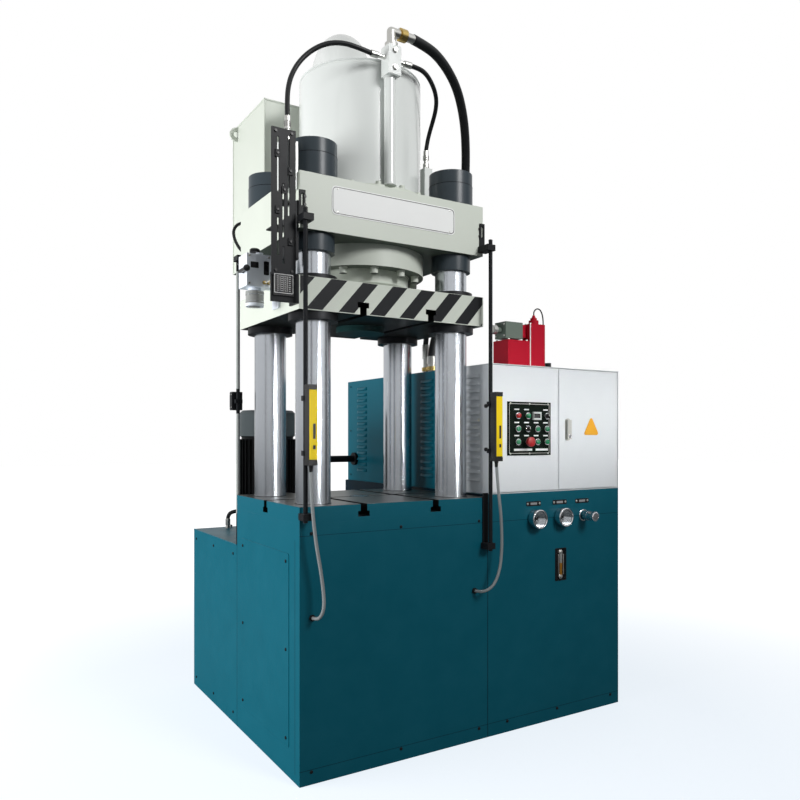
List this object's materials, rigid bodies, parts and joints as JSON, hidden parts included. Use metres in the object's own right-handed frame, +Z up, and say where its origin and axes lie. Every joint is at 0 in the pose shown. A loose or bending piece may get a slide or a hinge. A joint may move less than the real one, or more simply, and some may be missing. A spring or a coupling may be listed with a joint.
{
  "type": "hydraulic press",
  "caption": "Four-column hydraulic press with a top cylinder, guided platen, T-slotted table, electric cabinet, oil tanks, hoses and a light curtain.",
  "frame": {"origin": "on the floor, on the ram's axis", "axes": "+Z up along the ram's axis, +Y from the operator's side to the back, +X to the cabinet"},
  "size_m": [1.753, 1.3513, 3],
  "materials": {
    "teal_paint": "gloss enamel, teal",
    "pale_paint": "satin enamel, pale grey green",
    "white_enamel": "gloss enamel, off-white",
    "cabinet_paint": "fine powder coat, light grey",
    "black_steel": "black oxide and satin black paint",
    "slate_steel": "dark slate enamel on turned nuts",
    "chrome": "hard chrome, ground and polished",
    "machined_steel": "ground steel with a thin film of oil",
    "fitting_steel": "zinc-plated steel and brass fittings",
    "bush_bronze": "bronze bushes with black steel flanges",
    "hose_rubber": "black hydraulic hose cover",
    "cable_sheath": "grey cable sheath",
    "motor_iron": "dark grey enamel on cast iron",
    "valve_red": "gloss red enamel",
    "sensor_yellow": "yellow anodised bar with black ends",
    "panel_black": "black panel",
    "button_green": "green push button",
    "button_red": "red mushroom head",
    "button_black": "black knob",
    "collar_chrome": "bright collar",
    "gear_mixed": "grey control gear on a zinc plate",
    "lube_grey": "light grey die casting"
  },
  "bodies": {
    "frame": {"base_frame": "teal_paint", "work_table": "machined_steel", "rear_tank": "teal_paint", "columns": "chrome", "column_nuts": "slate_steel", "crown": "pale_paint", "main_cylinder": "white_enamel", "cylinder_rings": "pale_paint", "cylinder_bolts": "fitting_steel", "ejector_cylinder": "machined_steel", "upper_tank": "pale_paint", "prefill_pipe": "white_enamel", "port_blocks": "white_enamel", "hose_fittings": "fitting_steel", "main_hose": "hose_rubber", "left_hose": "hose_rubber", "small_hose": "hose_rubber", "return_hose": "hose_rubber", "curtain_cable_left": "cable_sheath", "curtain_cable_right": "cable_sheath", "cabinet_base": "teal_paint", "sight_gauge": "fitting_steel", "electric_cabinet": "cabinet_paint", "pump_enclosure": "teal_paint", "control_gear": "gear_mixed", "gauge_cases": "collar_chrome", "curtain_stands": "black_steel", "light_curtains": "sensor_yellow", "pump_motor": "motor_iron", "cross_pipe": "black_steel", "pressure_valves": "valve_red", "stroke_switches": "black_steel"},
    "press_slide": {"ram": "chrome", "platen": "pale_paint", "guide_bushes": "bush_bronze", "platen_disc": "teal_paint", "cam_plate": "black_steel", "lubricator": "lube_grey"},
    "lubricator_lever": {"lubricator_lever": "button_black"},
    "ejector": {"ejector_rod": "chrome"},
    "door_left": {"door_left": "cabinet_paint", "control_panel": "panel_black", "button_collars": "collar_chrome", "panel_lamps": "button_green"},
    "door_right": {"door_right": "cabinet_paint"},
    "door_handle": {"door_handle": "fitting_steel"},
    "emergency_stop": {"emergency_stop": "button_red"},
    "mode_selector": {"mode_selector": "button_black"},
    "power_selector": {"power_selector": "button_black"},
    "gauge_needle_left": {"gauge_needle_left": "button_black"},
    "gauge_needle_right": {"gauge_needle_right": "button_black"},
    "pressure_knob": {"pressure_knob": "chrome"},
    "valve_knob": {"valve_knob": "fitting_steel"},
    "motor_fan": {"motor_fan": "panel_black"},
    "green_button_1": {"green_button_1": "button_green"},
    "green_button_2": {"green_button_2": "button_green"},
    "green_button_3": {"green_button_3": "button_green"},
    "green_button_4": {"green_button_4": "button_green"},
    "green_button_5": {"green_button_5": "button_green"},
    "green_button_6": {"green_button_6": "button_green"}
  },
  "joints": [
    {"name": "platen_slide", "type": "slide", "parent": "frame", "child": "press_slide", "axis": [0, 0, -1], "range_m": [0, 0.4]},
    {"name": "ejector_slide", "type": "slide", "parent": "frame", "child": "ejector", "axis": [0, 0, 1], "range_m": [0, 0.2]},
    {"name": "lubricator_lever_swing", "type": "hinge", "parent": "press_slide", "child": "lubricator_lever", "pos_m": [-0.558, -0.115, 1.827], "axis": [-1, 0, 0], "range_deg": [-20, 35]},
    {"name": "door_left_hinge", "type": "hinge", "parent": "frame", "child": "door_left", "pos_m": [0.447, -0.3165, 1.259], "axis": [0, 0, -1], "range_deg": [0, 90]},
    {"name": "door_right_hinge", "type": "hinge", "parent": "frame", "child": "door_right", "pos_m": [1.169, -0.3165, 1.259], "axis": [0, 0, 1], "range_deg": [0, 110]},
    {"name": "door_handle_turn", "type": "hinge", "parent": "door_right", "child": "door_handle", "pos_m": [0.863, -0.3225, 1.258], "axis": [0, 1, 0], "range_deg": [0, 90]},
    {"name": "green_button_1_push", "type": "slide", "parent": "door_left", "child": "green_button_1", "axis": [0, 1, 0], "range_m": [0, 0.005], "stiffness_N_per_m": 400, "springref_m": -0.004},
    {"name": "emergency_stop_push", "type": "slide", "parent": "door_left", "child": "emergency_stop", "axis": [0, 1, 0], "range_m": [0, 0.005]},
    {"name": "green_button_2_push", "type": "slide", "parent": "door_left", "child": "green_button_2", "axis": [0, 1, 0], "range_m": [0, 0.005], "stiffness_N_per_m": 400, "springref_m": -0.004},
    {"name": "green_button_3_push", "type": "slide", "parent": "door_left", "child": "green_button_3", "axis": [0, 1, 0], "range_m": [0, 0.005], "stiffness_N_per_m": 400, "springref_m": -0.004},
    {"name": "green_button_4_push", "type": "slide", "parent": "door_left", "child": "green_button_4", "axis": [0, 1, 0], "range_m": [0, 0.005], "stiffness_N_per_m": 400, "springref_m": -0.004},
    {"name": "mode_selector_turn", "type": "hinge", "parent": "door_left", "child": "mode_selector", "pos_m": [0.6217, -0.3265, 1.2595], "axis": [0, 1, 0], "range_deg": [-45, 45]},
    {"name": "green_button_5_push", "type": "slide", "parent": "door_left", "child": "green_button_5", "axis": [0, 1, 0], "range_m": [0, 0.005], "stiffness_N_per_m": 400, "springref_m": -0.004},
    {"name": "green_button_6_push", "type": "slide", "parent": "door_left", "child": "green_button_6", "axis": [0, 1, 0], "range_m": [0, 0.005], "stiffness_N_per_m": 400, "springref_m": -0.004},
    {"name": "power_selector_turn", "type": "hinge", "parent": "door_left", "child": "power_selector", "pos_m": [0.7291, -0.3265, 1.3145], "axis": [0, 1, 0], "range_deg": [-45, 45]},
    {"name": "gauge_needle_left_turn", "type": "hinge", "parent": "frame", "child": "gauge_needle_left", "pos_m": [0.673, -0.3325, 0.877], "axis": [0, 1, 0], "range_deg": [0, 270], "stiffness_Nm_per_rad": 0.002},
    {"name": "gauge_needle_right_turn", "type": "hinge", "parent": "frame", "child": "gauge_needle_right", "pos_m": [0.823, -0.3325, 0.877], "axis": [0, 1, 0], "range_deg": [0, 270], "stiffness_Nm_per_rad": 0.002},
    {"name": "pressure_knob_turn", "type": "hinge", "parent": "frame", "child": "pressure_knob", "pos_m": [0.958, -0.36, 0.877], "axis": [0, 1, 0], "range_deg": [-360, 360]},
    {"name": "valve_knob_turn", "type": "hinge", "parent": "frame", "child": "valve_knob", "pos_m": [0.74, 0.036, 1.732], "axis": [1, 0, 0], "range_deg": [-360, 360]},
    {"name": "motor_fan_spin", "type": "hinge", "parent": "frame", "child": "motor_fan", "pos_m": [-0.159, 0.628, 1.25], "axis": [0, 0, 1], "continuous": true}
  ]
}
